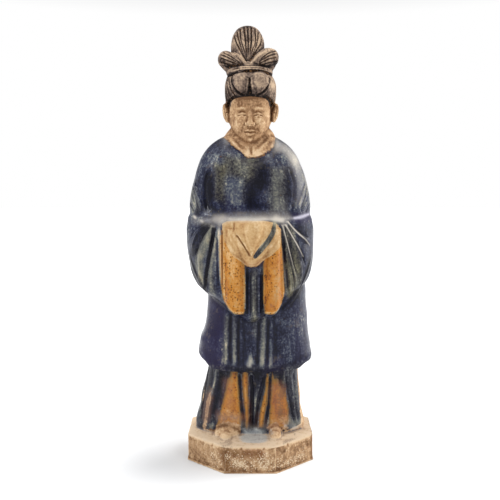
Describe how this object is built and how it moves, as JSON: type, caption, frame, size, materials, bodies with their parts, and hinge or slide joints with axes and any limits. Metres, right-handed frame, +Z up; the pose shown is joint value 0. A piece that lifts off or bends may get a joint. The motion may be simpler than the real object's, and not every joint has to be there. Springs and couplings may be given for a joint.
{
  "type": "glazed pottery tomb figure",
  "caption": "Standing robed attendant in glazed pottery with covered hands and hair dressed in lobes, moulded in one with an octagonal slab; stands by its own weight.",
  "frame": {"origin": "middle of the slab's flat underside", "axes": "+Z up to the hair, the figure faces -Y, +X to the viewer's right"},
  "size_m": [0.1269, 0.1152, 0.427],
  "materials": {
    "glazed_pottery": "dark blue, amber and olive lead glazes over bare buff clay, worn"
  },
  "bodies": {
    "root": {"figure": "glazed_pottery"}
  },
  "joints": []
}
